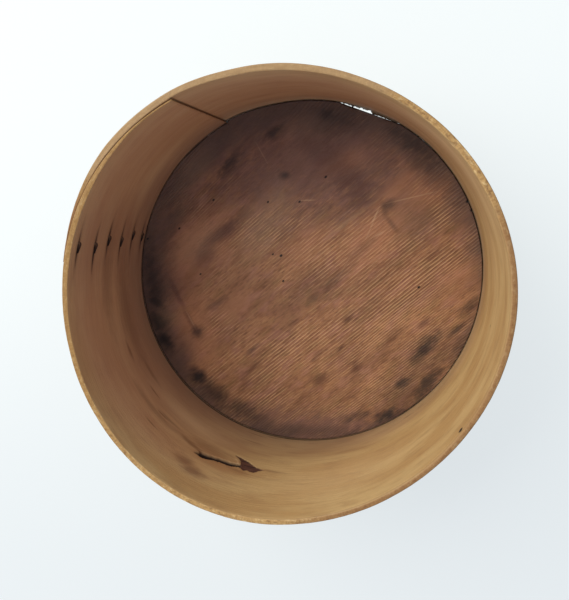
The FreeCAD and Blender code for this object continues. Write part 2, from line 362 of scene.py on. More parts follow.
def inside_outline(along, up, outline):
    """True for places inside a closed outline."""
    inside = np.zeros(along.shape, bool)
    for (x1, y1), (x2, y2) in zip(outline, outline[1:] + outline[:1]):
        crosses = (y1 > up) != (y2 > up)
        inside ^= crosses & (along < (x2 - x1) * (up - y1) / (y2 - y1) + x1)
    return inside


def split_in_wall(along, up):
    """Depth of the gash, depth of the flake and height of the lip on the wall's inside, each from 0 to 1."""
    ragged = swells(along, up, SPLIT_RAGGED, SEEDS["gash"])
    gash_line, outline, lip_line = (
        [on_inside(*mark)[:2] for mark in marks] for marks in (GASH_LINE, FLAKE_OUTLINE, LIP_LINE)
    )
    distance, where = from_line(along, up, gash_line)
    half = np.interp(where, range(len(GASH_WIDTHS)), GASH_WIDTHS) * MM * GASH_HALF_SHARE
    gash = 1 - ease((distance + ragged - half) / half)
    edge, _ = from_line(along, up, outline + outline[:1])
    within = np.where(inside_outline(along, up, outline), edge, -edge)
    flake = ease((within + ragged + FLAKE_EDGE) / (2 * FLAKE_EDGE))
    distance, _ = from_line(along, up, lip_line)
    lip = (1 - ease(distance / LIP_WIDTH)) * (1 - flake) * (1 - gash)
    return gash, flake, lip


def slit_pull(turn, along, up):
    """How far the wall's foot hangs in over its true line, to leave the slit beside the board its width."""
    around = np.where(turn > FULL_TURN, turn - FULL_TURN, turn)
    far = np.abs(around - FLAT_ANGLE) > math.degrees(math.asin(FLAT_LENGTH / 2 / INSIDE_MEAN))
    straight = flat_reach() / np.cos(np.radians(np.where(far, 0, around - FLAT_ANGLE)))
    width = np.interp(around, *zip(*SLIT_WIDTHS)) * MM
    tufts = swells(along, up, SLIT_TUFTS, SEEDS["foot"])
    open_part = ease((width - SLIT_LEAST) / SLIT_LEAST)
    pull = inside_radius(around, 0) - straight - width - tufts * open_part
    return np.where(far, 0, pull) * (1 - ease(up / SLIT_REACH))


def make_wall():
    """The bent strip with its worn rim, the split in its inside and the ragged foot beside the slit."""
    section = ring_section()
    turns = steps_between((*TURN_STEPS, (FULL_TURN + OUTER_END, 1)))
    spread = section[:, None] + np.zeros((1, len(turns), 1))
    inner_part, outer_part, share, height, inner_rise, outer_rise, on_rim, outside = spread
    turn = turns[:, None] + np.zeros(section.shape[1])
    thick = thickness(turn)
    worn_round = side_share(turn, RIM_ROUND_TURN) ** SIDE_POWER
    rim_round = RIM_ROUND_LEAST + (RIM_ROUND_MOST - RIM_ROUND_LEAST) * worn_round
    upper = height > WALL_HEIGHT / 2
    inner_round = np.minimum(np.where(upper, rim_round, FOOT_ROUND), thick * INNER_ROUND_SHARE)
    outer_round = np.minimum(np.where(upper, OUTER_ROUND, FOOT_ROUND), thick * OUTER_ROUND_SHARE)
    depth = inner_part * inner_round + outer_part * outer_round + share * thick
    up = height + inner_rise * inner_round + outer_rise * outer_round
    along = along_strip(turn)

    # The cut of the inner end leans a little
    near_end = np.clip(1 - (turn - INNER_END) / LEAN_RUN, 0, 1)
    turn = turn + near_end * INNER_END_LEAN * (1 - 2 * up / WALL_HEIGHT)

    # The two faces wave on their own, and their fibres fade out on the rim
    long_wave, fibre = (
        lumps([along / length, up / width, outside * FACES_APART], SEEDS["wall"] + number, 2) * swell
        for number, (length, width, swell) in enumerate((LONG_WAVE, FIBRE))
    )
    facing = np.where(outside > 0.5, -1, 1) * (np.abs(outside - 0.5) > 0.4)
    depth = depth + (long_wave + fibre * (1 - on_rim)) * facing

    # The rim is worn down in places, its inner edge has crumbled, and it drops at the thin outer end
    worn = lumps([along / WORN_LENGTH, depth / WORN_WIDTH], SEEDS["rim"], 3)
    crumbs = lumps([along / CRUMB_LENGTH, depth / CRUMB_WIDTH, up / CRUMB_WIDTH], SEEDS["rim"] + 1, 2)
    bites = np.maximum(crumbs - CRUMB_LEAST, 0) * stretch(turn, *CRUMBLED) * (1 - outside)
    near_rim = ease((up - WALL_HEIGHT + WEAR_REACH) / WEAR_REACH)
    depth = depth + bites * near_rim * BITE_DEPTH
    lost = RIM_WEAR * (1 + worn + np.maximum(crumbs, CRUMB_LOWEST)) + BITE_DEPTH * bites
    up = up - np.maximum(lost, 0) * near_rim
    lowered = ease((turn - DROP_TURN) / DROP_RUN) * DROP
    up = up - lowered * ease((up - WALL_HEIGHT + DROP_REACH) / DROP_REACH)

    on_inner = (share == 0) & (on_rim == 0)
    gash, flake, lip = (part * on_inner for part in split_in_wall(along, up))
    depth = depth + GASH_DEPTH * gash + FLAKE_DEPTH * flake * (1 - gash) - LIP_RISE * lip
    depth = depth - slit_pull(turn, along, up) * (1 - outside)

    radius = inside_radius(turn, up / WALL_HEIGHT) + lift(turn) + depth
    around = np.radians(turn)
    points = np.stack([radius * np.cos(around), radius * np.sin(around), up], -1).reshape(-1, 3)
    rows = section.shape[1]
    faces = grid_faces(len(turns), rows, ring=True)
    last = (len(turns) - 1) * rows
    faces.append(tuple(range(rows)))
    faces.append(tuple(range(last + rows - 1, last - 1, -1)))
    piece = new_piece("wall", points, faces, "side_band")
    keep_values(piece.data, "strip_place", np.stack([along, up, depth], -1))

    dark_reach = DARK_LEAST + DARK_MORE * side_share(turn, DARK_TURN) ** SIDE_POWER
    lap_handled = ease((turn - HANDLED_LAP_TURN) / HANDLED_LAP_RUN)
    values = {
        "rim": on_rim,
        "outside": outside,
        "gash": gash,
        "flake": flake,
        "lip": lip,
        "crumbs": bites * near_rim,
        "low": np.clip(1 - up / dark_reach, 0, 1),
        "dusty": stretch(turn, *DUSTY),
        "handled": lap_handled + HANDLED_SHARE * stretch(turn, *HANDLED),
        "ruddy": side_share(turn, RUDDY_TURN),
    }
    for name, value in values.items():
        keep_values(piece.data, name, value.ravel())
    return piece


# The board

RIB_ROW = 0.3 * MM
UPPER_SHARES = steps_between(((-0.985, 0.0225), (0.985, 1)))
LOWER_SHARES = steps_between(((-0.985, 0.18), (0.985, 1)))
END_SHARES = (0.993, 0.9975, 1)
END_ROW = 0.03 * MM
STEP_POWER = 12
BOARD_ROUND = 0.5 * MM
BOARD_WORN = 0.1 * MM

# The ribs: how high and how narrow they are, how they sway and fan out, and how their strength changes
RIB_HEIGHT = 0.28 * MM
RIB_POWER = 2.5
RIB_REACH = 130 * MM
RIB_MARKS = 1041
RIB_SWAY = (70 * MM, 25 * MM, 0.45)
RIB_FAN = 50
RIB_FAN_START = 40 * MM
RIB_FAN_RUN = 70 * MM
RIB_STRENGTH = 0.78
RIB_STRENGTH_LEAST = 0.25
RIB_STRENGTH_SWELLS = (45 * MM, 12 * MM, 0.4)

# Length, width and height of the shallow hollows on top, and of the saw marks underneath
HOLLOWS = (24 * MM, 9 * MM, 0.08 * MM)
SAW_MARKS = (60 * MM, 1.2 * MM, 0.06 * MM)

# Spacing of the ribs across the grain, as (distance across from the middle, spacing), in mm
RIB_SPACING = ((-120, 1.5), (-70, 1.5), (-58, 1.6), (-48, 2.0), (-20, 2.1), (10, 2.1), (50, 1.9), (120, 1.75))

# Where the ribs have worn off, as (x, y, half the length in x, half the length in y), in mm, and how much
WORN_PLACES = (
    ((-10, 82, 80, 44), 0.5), ((-98, -10, 34, 75), 0.8), ((70, 41, 20, 19), 0.55), ((-34, 0, 52, 34), 0.5),
    ((-66, -62, 38, 34), 0.35), ((-40, 98, 60, 24), 0.5), ((-78, 48, 36, 34), 0.4),
    ((-30, -25, 34, 18), 0.35),
)
WORN_CORE = 0.5
WORN_FADE = 0.6


def board_reach(across):
    """Half length of the board along its grain, at a distance across it."""
    mean = INSIDE_MEAN - BOARD_GAP
    long_half, short_half = mean + FOOT_OVAL / 4, mean - FOOT_OVAL / 4
    return long_half * np.sqrt(np.maximum(1 - (across / short_half) ** 2, 0))


def flat_reach():
    """Distance from the middle to the straight run on the board's edge."""
    radius = inside_radius(FLAT_ANGLE, 0) - BOARD_GAP
    return math.sqrt(radius**2 - (FLAT_LENGTH / 2) ** 2)


def board_outline(across, share):
    """Places (along, across, x, y) of a grid over the board, and each point's distance in from the edge."""
    across = across[:, None] + np.zeros(len(share))
    along = board_reach(across) * share
    short_half = INSIDE_MEAN - BOARD_GAP - FOOT_OVAL / 4
    edge = np.minimum((1 - np.abs(share)) * board_reach(across), short_half - np.abs(across))
    turn = math.radians(GRAIN_ANGLE)
    x = along * math.cos(turn) - across * math.sin(turn)
    y = along * math.sin(turn) + across * math.cos(turn)

    # The straight run, and the step out to the wall where the strip comes off its own inner end
    flat = math.radians(FLAT_ANGLE)
    over = x * math.cos(flat) + y * math.sin(flat) - flat_reach()
    edge = np.minimum(edge, np.maximum(-over, 0))
    over = np.maximum(over, 0)
    x, y = x - over * math.cos(flat), y - over * math.sin(flat)
    around = np.degrees(np.arctan2(y, x))
    step = np.where(around < INNER_END, lift(np.maximum(around, 0) + FULL_TURN), 0)
    outwards = 1 + step / INSIDE_MEAN * (np.hypot(x, y) / INSIDE_MEAN) ** STEP_POWER
    return along, across, x * outwards, y * outwards, edge


def make_board():
    """The board with the narrow ribs that its hard growth rings have left, worn off in places."""
    short_half = INSIDE_MEAN - BOARD_GAP - FOOT_OVAL / 4
    nearly = short_half - END_ROW
    middle_rows = np.linspace(-nearly, nearly, round(2 * short_half / RIB_ROW))
    rows = np.concatenate([[-short_half], middle_rows, [short_half]])
    ends = np.array(END_SHARES)
    upper_shares, lower_shares = (
        np.concatenate([-ends[::-1], middle, ends]) for middle in (UPPER_SHARES, LOWER_SHARES)
    )
    along, across, x, y, edge = board_outline(rows, upper_shares)

    marks = np.linspace(-RIB_REACH, RIB_REACH, RIB_MARKS)
    spacing = np.interp(marks / MM, *zip(*RIB_SPACING)) * MM
    count_to = np.concatenate([[0], np.cumsum(np.diff(marks) / spacing[1:])])
    sway = swells(along, across, RIB_SWAY, SEEDS["ribs"])
    fan = -RIB_FAN * along * ease((across - RIB_FAN_START) / RIB_FAN_RUN)
    phase = np.interp(across, marks, count_to) + sway + fan
    rib = (0.5 + 0.5 * np.cos(2 * math.pi * phase)) ** RIB_POWER
    strength = RIB_STRENGTH + swells(along, across, RIB_STRENGTH_SWELLS, SEEDS["ribs"] + 1)
    strength = np.clip(strength, RIB_STRENGTH_LEAST, 1)
    for (middle_x, middle_y, half_x, half_y), worn in WORN_PLACES:
        distance = np.hypot((x / MM - middle_x) / half_x, (y / MM - middle_y) / half_y)
        strength = strength * (1 - worn * (1 - ease((distance - WORN_CORE) / WORN_FADE)))

    eased = np.sqrt(np.clip(edge / BOARD_ROUND, 0, 1))
    hollows = swells(along, across, HOLLOWS, SEEDS["board"] + 1)
    furrows = RIB_HEIGHT * (1 - rib) * strength * eased
    top = BOARD_THICK - BOARD_WORN + hollows - furrows - BOARD_ROUND * (1 - eased)
    low_along, low_across, low_x, low_y, low_edge = board_outline(rows, lower_shares)
    low_eased = np.sqrt(np.clip(low_edge / BOARD_ROUND, 0, 1))
    saw_marks = swells(low_along, low_across, SAW_MARKS, SEEDS["board"])
    bottom = np.maximum(saw_marks * low_eased, 0) + BOARD_ROUND * (1 - low_eased)

    layers = ((x, y, top), (low_x, low_y, bottom))
    points = np.concatenate([np.stack(layer, -1).reshape(-1, 3) for layer in layers])
    columns, low_columns = len(upper_shares), len(lower_shares)
    below = len(rows) * columns
    faces = grid_faces(len(rows), columns, ring=False)
    low_faces = grid_faces(len(rows), low_columns, ring=False)
    faces += [tuple(below + corner for corner in face[::-1]) for face in low_faces]
    for row in range(len(rows) - 1):
        left, next_left = row * columns, (row + 1) * columns
        low_left, low_next = below + row * low_columns, below + (row + 1) * low_columns
        faces.append((left, low_left, low_next, next_left))
        right, next_right = left + columns - 1, next_left + columns - 1
        faces.append((right, next_right, low_next + low_columns - 1, low_left + low_columns - 1))
    piece = new_piece("board", points, faces, "base_board")

    def both(upper, lower):
        return np.concatenate([upper.ravel(), lower.ravel()])

    zero, low_zero = np.zeros(along.shape), np.zeros(low_along.shape)
    place = np.stack([both(along, low_along), both(across, low_across), both(zero, low_zero)], -1)
    keep_values(piece.data, "board_place", place)
    keep_values(piece.data, "rib", both(rib * strength, low_zero))
    keep_values(piece.data, "edge", both(edge, low_zero + BOARD_THICK))
    keep_values(piece.data, "underside", both(zero, low_zero + 1))
    return piece


# Shader nodes


def tone(code):
    """Linear colour of a six-figure screen colour."""
    parts = [int(code[i : i + 2], 16) / 255 for i in (0, 2, 4)]
    linear = [part / 12.92 if part <= 0.04045 else ((part + 0.055) / 1.055) ** 2.4 for part in parts]
    return (*linear, 1.0)


class Recipe:
    """The nodes of one material or group, added and joined by short calls."""

    def __init__(self, tree):
        self.tree = tree

    def feed(self, socket, value):
        if isinstance(value, bpy.types.NodeSocket):
            self.tree.links.new(value, socket)
        else:
            socket.default_value = value

    def node(self, kind, sockets=(), **settings):
        made = self.tree.nodes.new(f"ShaderNode{kind}")
        for name, value in settings.items():
            setattr(made, name, value)
        for name, value in dict(sockets).items():
            self.feed(made.inputs[name], value)
        return made

    def attribute(self, name, output="Fac"):
        return self.node("Attribute", attribute_name=name).outputs[output]

    def math(self, operation, first, second=0.0, clamp=False):
        return self.node("Math", {0: first, 1: second}, operation=operation, use_clamp=clamp).outputs[0]

    def vector(self, operation, first, second, output="Vector"):
        return self.node("VectorMath", {0: first, 1: second}, operation=operation).outputs[output]

    def between(self, value, low, high, start=0.0, end=1.0):
        """Eased rise from start to end as a value goes from low to high."""
        sockets = {"Value": value, "From Min": low, "From Max": high, "To Min": start, "To Max": end}
        return self.node("MapRange", sockets, interpolation_type="SMOOTHSTEP").outputs["Result"]

    def noise(self, place, detail=2.0, roughness=0.5, scale=1.0):
        sockets = {"Vector": place, "Scale": scale, "Detail": detail, "Roughness": roughness}
        return self.node("TexNoise", sockets).outputs["Fac"]

    def mix(self, share, first, second):
        made = self.node("Mix", data_type="RGBA")
        sockets = (made.inputs["Factor"], made.inputs[6], made.inputs[7])
        for socket, value in zip(sockets, (share, first, second)):
            self.feed(socket, value)
        return made.outputs[2]

    def wash(self, colour, code, value, low, high, strength=1.0):
        """Lay a tone over a colour, more and more as a value goes from low to high."""
        return self.mix(self.between(value, low, high, 0.0, strength), colour, tone(code))

    def group(self, tree, output=0, **sockets):
        made = self.node("Group", node_tree=tree)
        for name, value in sockets.items():
            self.feed(made.inputs[name.replace("_", " ").capitalize()], value)
        return made.outputs[output]

    def grain(self, place, length, width, detail=2.0):
        """Streaks of the shared grain group, with their length and width in millimetres."""
        return self.group(GRAIN, place=place, length=length * MM, width=width * MM, detail=detail)

    def fray(self, place, scales, detail, roughness=0.5):
        """Fine noise about 0 that frays the edges of spots."""
        fine = self.noise(self.vector("MULTIPLY", place, scales), detail, roughness)
        return self.math("SUBTRACT", fine, 0.5)

    def spots(self, place, frayed, marks, softness, ragged):
        """The strongest of several soft oval spots, each (middle, length, width, turn, strength), in mm."""
        total = None
        for middle, length, width, turn, strength in marks:
            mask = self.group(
                SPOT, place=place, frayed=frayed, middle=middle, length=length * MM, width=width * MM,
                turn=-math.radians(turn), softness=softness, ragged=ragged, strength=strength,
            )
            total = mask if total is None else self.math("MAXIMUM", total, mask)
        return total

    def stains(self, colour, place, frayed, kinds):
        """Lay soft oval spots over a colour, one kind after another, each (tone, marks, softness, ragged)."""
        for code, marks, softness, ragged in kinds:
            colour = self.mix(self.spots(place, frayed, marks, softness, ragged), colour, tone(code))
        return colour

    def bump(self, height, distance):
        return self.node("Bump", {"Height": height, "Distance": distance, "Strength": 1.0}).outputs["Normal"]


def new_group(name, inputs, outputs):
    """Empty shader group with named inputs and outputs, its recipe and its two ends."""
    tree = bpy.data.node_groups.new(name, "ShaderNodeTree")
    for label, kind, value in inputs:
        socket = tree.interface.new_socket(label, in_out="INPUT", socket_type=f"NodeSocket{kind}")
        if value is not None:
            socket.default_value = value
    for label, kind in outputs:
        tree.interface.new_socket(label, in_out="OUTPUT", socket_type=f"NodeSocket{kind}")
    given, made = tree.nodes.new("NodeGroupInput").outputs, tree.nodes.new("NodeGroupOutput").inputs
    return tree, Recipe(tree), given, made


def make_grain_group():
    """Streaks drawn out along the first axis of a place."""
    tree, recipe, given, made = new_group(
        "grain_streaks",
        [
            ("Place", "Vector", None), ("Length", "Float", 0.04), ("Width", "Float", 0.001),
            ("Detail", "Float", 3.0),
        ],
        [("Streak", "Float")],
    )
    length, width = given["Length"], given["Width"]
    size = recipe.node("CombineXYZ", {"X": length, "Y": width, "Z": width}).outputs[0]
    place = recipe.vector("DIVIDE", given["Place"], size)
    recipe.feed(made["Streak"], recipe.noise(place, detail=given["Detail"]))
    return tree


def make_spot_group():
    """Soft oval spot with a frayed edge, turned about the third axis of a place."""
    tree, recipe, given, made = new_group(
        "soft_spot",
        [
            ("Place", "Vector", None), ("Frayed", "Float", 0.0), ("Middle", "Vector", None),
            ("Length", "Float", 0.01), ("Width", "Float", 0.01), ("Turn", "Float", 0.0),
            ("Softness", "Float", 0.5), ("Ragged", "Float", 0.3), ("Strength", "Float", 1.0),
        ],
        [("Mask", "Float")],
    )
    from_middle = recipe.vector("SUBTRACT", given["Place"], given["Middle"])
    sockets = {"Vector": from_middle, "Angle": given["Turn"]}
    turned = recipe.node("VectorRotate", sockets, rotation_type="Z_AXIS")
    size = recipe.node("CombineXYZ", {"X": given["Length"], "Y": given["Width"], "Z": 1000.0}).outputs[0]
    scaled = recipe.vector("DIVIDE", turned.outputs[0], size)
    distance = recipe.vector("LENGTH", scaled, (0, 0, 0), "Value")
    reach = recipe.math("ADD", distance, recipe.math("MULTIPLY", given["Frayed"], given["Ragged"]))
    half_soft = recipe.math("MULTIPLY", given["Softness"], 0.5)
    low = recipe.math("SUBTRACT", 0.5, half_soft)
    high = recipe.math("ADD", 0.5, half_soft)
    recipe.feed(made["Mask"], recipe.between(reach, low, high, given["Strength"], 0.0))
    return tree


def new_material(name):
    """Material with a Principled shader, and its recipe."""
    material = bpy.data.materials.new(name)
    material.use_nodes = True
    recipe = Recipe(material.node_tree)
    return material, recipe, material.node_tree.nodes["Principled BSDF"].inputs


GRAIN = make_grain_group()
SPOT = make_spot_group()
WOOD_ROUGHNESS = (0.5, 0.72)
WOOD_GLOSS = 0.35


# Marks on the wall: (place, length, width, turn, strength), in mm and degrees


def wall_mark(angle, height, length, width, turn=0, strength=1.0):
    return (on_inside(angle, height), length, width, turn, strength)


TACK_CORES = (
    wall_mark(163.8, 106.7, 15, 1.3), wall_mark(165.6, 85.4, 20, 1.7), wall_mark(163.0, 67.9, 17, 1.4),
    wall_mark(164.6, 48.4, 16, 1.4), wall_mark(164.1, 30.7, 15, 1.4), wall_mark(164.7, 13.9, 14, 1.4),
)
TACK_TAILS = tuple((middle, 26, 3.4, 0, 0.45) for middle, *_ in TACK_CORES)
TACK_ZONE = (wall_mark(163, 62, 52, 120, 0, 0.3),)
BROWN_STREAKS = (
    wall_mark(200.1, 50.5, 12, 3.0, 0, 0.5), wall_mark(209.3, 37.6, 22, 3.4, 0, 0.45),
    wall_mark(220.2, 62.9, 36, 5, 0, 0.35), wall_mark(225.7, 57.8, 18, 2.6, 0, 0.45),
    wall_mark(235.5, 63.0, 17, 4, 10, 0.6), wall_mark(239.3, 65.6, 6, 1.6, 5, 0.8),
    wall_mark(242.0, 56.0, 26, 9, 0, 0.35), wall_mark(223.0, 59.3, 9, 1.4, 0, 0.7),
    wall_mark(215.9, 48.3, 9, 1.4, 0, 0.6), wall_mark(222.3, 75.8, 8, 1.4, 0, 0.6),
    wall_mark(262.5, 58.5, 14, 3, 3, 0.35), wall_mark(252.6, 67.4, 12, 3, 3, 0.4),
    wall_mark(175.0, 64.0, 60, 12, 0, 0.35), wall_mark(187.0, 40.0, 70, 16, 0, 0.35),
    wall_mark(252.1, 12.9, 13, 0.9, 0, 0.6), wall_mark(257.5, 10.2, 9, 0.8, 0, 0.6),
    wall_mark(252.1, 24.9, 13, 0.9, 0, 0.5),
)
RED_SMUDGES = (wall_mark(237.2, 84.0, 12, 9, 0, 0.55), wall_mark(240.6, 88.5, 14, 9, 0, 0.65))
SPLIT_HALO = (wall_mark(246.5, 66.5, 36, 13, -10, 0.4), wall_mark(241, 60, 34, 14, 0, 0.4))
# Paler places of the wall's inside: partly the wood's own paler places, partly painted light that lifts the
# shade at the foot and under the rim
PALE_AND_PAINTED_LIGHT_PLACES = (
    wall_mark(80, 8, 340, 22, 0, 0.35), wall_mark(40, 92, 80, 50, 0, 0.4),
    wall_mark(285, 68, 70, 44, 0, 0.2), wall_mark(20, 58, 60, 24, 0, 0.2),
    wall_mark(300, 24, 60, 18, 0, 0.2), wall_mark(335, 24, 50, 12, 0, 0.2),
    wall_mark(95, 104, 110, 26, 0, 0.25), wall_mark(230, 40, 50, 14, 0, 0.4),
    wall_mark(142, 38, 40, 18, 0, 0.22),
)
GREY_DASHES = (wall_mark(306.8, 18.2, 7, 1.4, 0, 0.5), wall_mark(312.3, 17.4, 6, 1.6, 0, 0.35))
# Holes, painted dark for the shade inside them, since the mesh has no pits for them
DARK_HOLES = (wall_mark(326.3, 111.2, 3.2, 2.8, 0, 1.0), wall_mark(350.3, 63.2, 2.0, 1.2, 0, 0.7))

# Stains of the wall's inside in the order in which they lie: (tone, marks, softness, ragged); the first, the
# pale places, is partly painted light
WALL_STAINS = (
    ("ECCB9C", PALE_AND_PAINTED_LIGHT_PLACES, 1.0, 0.2),
    ("6B452F", BROWN_STREAKS, 0.8, 0.5),
    ("8E5A3A", SPLIT_HALO, 1.0, 0.4),
    ("6E4434", RED_SMUDGES, 0.9, 0.7),
    ("5C4A36", GREY_DASHES, 0.7, 0.5),
    ("7A5448", TACK_ZONE, 1.0, 0.3),
    ("4E3024", TACK_TAILS, 0.95, 0.3),
    ("17110F", TACK_CORES, 0.85, 0.15),
)


def make_wall_wood():
    """Thin bent hardwood: honey brown inside, browner and duller outside, tan and mottled on the rim."""
    material, recipe, shader = new_material("wall_wood")
    place = recipe.attribute("strip_place", "Vector")
    rim = recipe.attribute("rim")
    outside = recipe.attribute("outside")
    parts = recipe.node("SeparateXYZ", {0: place}).outputs
    along, up = parts["X"], parts["Y"]
    broad = recipe.grain(place, 70, 16)
    blotch = recipe.grain(place, 20, 6)
    streaks = recipe.grain(place, 28, 1.2, 3.0)
    fine = recipe.grain(place, 7, 0.4)
    pores = recipe.grain(place, 6, 0.5, 1.0)
    frayed = recipe.fray(place, (160, 600, 600), 3.0)

    inner = recipe.mix(recipe.between(broad, 0.35, 0.65), tone("C9A975"), tone("BB9663"))
    inner = recipe.wash(inner, "9E7850", blotch, 0.45, 0.75, 0.38)
    inner = recipe.wash(inner, "987047", streaks, 0.5, 0.78, 0.25)
    inner = recipe.wash(inner, "8A623C", fine, 0.5, 0.85, 0.22)
    inner = recipe.wash(inner, "6E4A2C", pores, 0.72, 0.8, 0.35)
    drift = recipe.math("MULTIPLY", recipe.math("SUBTRACT", broad, 0.5), 0.5)
    low = recipe.math("ADD", recipe.attribute("low"), drift)
    ruddy = recipe.attribute("ruddy")
    # The inside is tinted ruddier on the side turned from the key lamp, less so up at the rim: painted colour
    # of its shade
    painted_shade_tint = recipe.math("MULTIPLY", ruddy, recipe.between(up, 80 * MM, 114 * MM, 1.0, 0.55))
    inner = recipe.wash(inner, "C28B70", painted_shade_tint, 0.2, 0.7, 0.5)
    inner = recipe.wash(inner, "8E6E60", low, 0.0, 0.9, 0.5)
    inner = recipe.stains(inner, place, frayed, WALL_STAINS)

    # A dark seam where the cut of the inner end lies on the wall, leaning as the cut does: painted shade of
    # the step, with grime in it
    share_up = recipe.math("MULTIPLY", up, 2 / WALL_HEIGHT)
    lean = recipe.math("MULTIPLY", recipe.math("SUBTRACT", 1.0, share_up), float(along_strip(INNER_END_LEAN)))
    from_end = recipe.math("SUBTRACT", along, float(along_strip(INNER_END + FULL_TURN)))
    seam = recipe.math("ABSOLUTE", recipe.math("SUBTRACT", from_end, lean))
    inner = recipe.wash(inner, "4A2C20", seam, 1.0 * MM, 0.3 * MM, 0.6)

    # The split: the pale lip, the torn wood of the flake and the gash, painted near black for the shade in its
    # depth
    inner = recipe.mix(recipe.attribute("lip"), inner, tone("C39E73"))
    torn = recipe.mix(recipe.between(fine, 0.35, 0.65), tone("6A473A"), tone("3A2521"))
    inner = recipe.mix(recipe.attribute("flake"), inner, torn)
    inner = recipe.mix(recipe.attribute("gash"), inner, tone("1A0F0C"))

    # Dirt in the joint with the board, and painted shade of the crevice there
    joint = recipe.math("ABSOLUTE", recipe.math("SUBTRACT", up, BOARD_THICK + 0.3 * MM))
    inner = recipe.wash(inner, "1C1311", joint, 1.1 * MM, 0.3 * MM, 0.8)

    outer = recipe.mix(recipe.between(broad, 0.35, 0.65), tone("9A7650"), tone("84613F"))
    outer = recipe.wash(outer, "5E422C", blotch, 0.5, 0.8, 0.4)
    outer = recipe.wash(outer, "5A3D28", streaks, 0.48, 0.75, 0.5)
    outer = recipe.wash(outer, "4A3222", fine, 0.5, 0.8, 0.35)
    outer = recipe.wash(outer, "5A4636", up, 14 * MM, 1 * MM, 0.5)
    outer = recipe.wash(outer, "A98A63", up, 111 * MM, 113.6 * MM, 0.6)
    iron_names = [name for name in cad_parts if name.startswith(("lap_tack", "base_brad"))]
    rusty = [(on_outside(name), 9, 8, 0, 0.6) for name in iron_names]
    outer = recipe.stains(outer, place, frayed, [("33211A", rusty, 0.9, 0.9)])

    crossing = recipe.grain(place, 0.9, 3.0)
    specks = recipe.grain(place, 2.6, 1.3, 3.0)
    edge = recipe.mix(recipe.between(crossing, 0.35, 0.65), tone("C0985F"), tone("AA824E"))
    edge = recipe.wash(edge, "E0C28C", specks, 0.56, 0.68, 0.6)
    edge = recipe.wash(edge, "74502E", specks, 0.42, 0.32, 0.6)
    edge = recipe.wash(edge, "8F6C44", fine, 0.45, 0.75, 0.45)
    edge = recipe.wash(edge, "8D6632", ruddy, 0.4, 0.9, 0.6)
    edge = recipe.wash(edge, "B0926E", recipe.attribute("dusty"), 0.0, 1.0, 0.45)
    edge = recipe.wash(edge, "80542F", recipe.attribute("handled"), 0.0, 1.0, 0.7)
    edge = recipe.wash(edge, "6E5238", recipe.attribute("crumbs"), 0.02, 0.3, 0.35)

    colour = recipe.mix(outside, inner, outer)
    colour = recipe.mix(recipe.between(rim, 0.15, 0.85), colour, edge)
    arris = recipe.math("ABSOLUTE", recipe.math("SUBTRACT", rim, 0.3))
    colour = recipe.wash(colour, "7A5834", arris, 0.28, 0.05, 0.4)
    # Holes painted dark for the shade inside them
    colour = recipe.stains(colour, place, frayed, [("2E2A22", DARK_HOLES, 0.4, 0.3)])
    recipe.feed(shader["Base Color"], colour)
    recipe.feed(shader["Roughness"], recipe.between(streaks, 0.2, 0.8, *WOOD_ROUGHNESS))
    shader["Specular IOR Level"].default_value = WOOD_GLOSS
    relief = recipe.math("ADD", recipe.math("MULTIPLY", streaks, 0.5), recipe.math("MULTIPLY", fine, 0.5))
    recipe.feed(shader["Normal"], recipe.bump(relief, 0.25 * MM))
    return material


# Marks on the board: (place, length, width, turn, strength), in mm and degrees


def board_mark(x, y, half_length, half_width, turn=GRAIN_ANGLE, strength=1.0):
    return (on_board(x, y), 2 * half_length, 2 * half_width, turn - GRAIN_ANGLE, strength)


CLEAN_MIDDLE = on_board(8, -8)
PURPLE_ZONES = (
    board_mark(14, 80, 82, 36, 2, 0.75), board_mark(-66, 46, 60, 34, 50, 0.2),
    board_mark(-98, -2, 26, 13, 90, 0.4), board_mark(106, 46, 12, 32, 20, 0.4),
    board_mark(-90, -45, 10, 22, 20, 0.3), board_mark(0, -109, 62, 11, 4, 0.7),
    board_mark(-26, -101, 24, 9, -14, 0.55), board_mark(4, 52, 22, 6, 10, 0.4),
)
RED_ZONES = (
    board_mark(28.5, 68.3, 24, 9, -47, 0.55), board_mark(10, 84, 20, 6, -60, 0.4),
    board_mark(90, 62, 14, 8, -40, 0.4), board_mark(-57, 31, 20, 4.5, 33, 0.75),
    board_mark(-70, 17, 9, 7, 60, 0.6), board_mark(-91.5, -10.5, 11, 1.8, -66, 0.45),
    board_mark(-83.4, -29, 8, 1.7, -64, 0.4), board_mark(-79, -37, 5, 2.2, -58, 0.55),
)
SMUDGES = (
    board_mark(-49, 77, 9.5, 3, 48, 0.8), board_mark(-17, 97, 6.5, 3, 36, 0.85),
    board_mark(18, 106, 5, 4, 23, 0.8), board_mark(-11, 69, 3.0, 2.1, 10, 0.85),
    board_mark(57, 48, 4, 3.4, 40, 0.6), board_mark(77.6, 73.8, 8, 5, -20, 0.5),
    board_mark(74, 84.6, 16, 5, -38, 0.75), board_mark(-62.8, -17.6, 8.5, 2.6, 30, 0.45),
    board_mark(-38.6, -51, 4.6, 1.5, 40, 0.6), board_mark(-78, -38.8, 4.5, 4.5, 40, 0.6),
    board_mark(24, 102, 13, 8, 10, 0.5), board_mark(40, 20, 13, 3, 44, 0.3),
    board_mark(20, -3, 14, 3, 44, 0.3), board_mark(6, -14, 6, 2, 44, 0.4),
    board_mark(-26, 36, 12, 5, 30, 0.3),
)
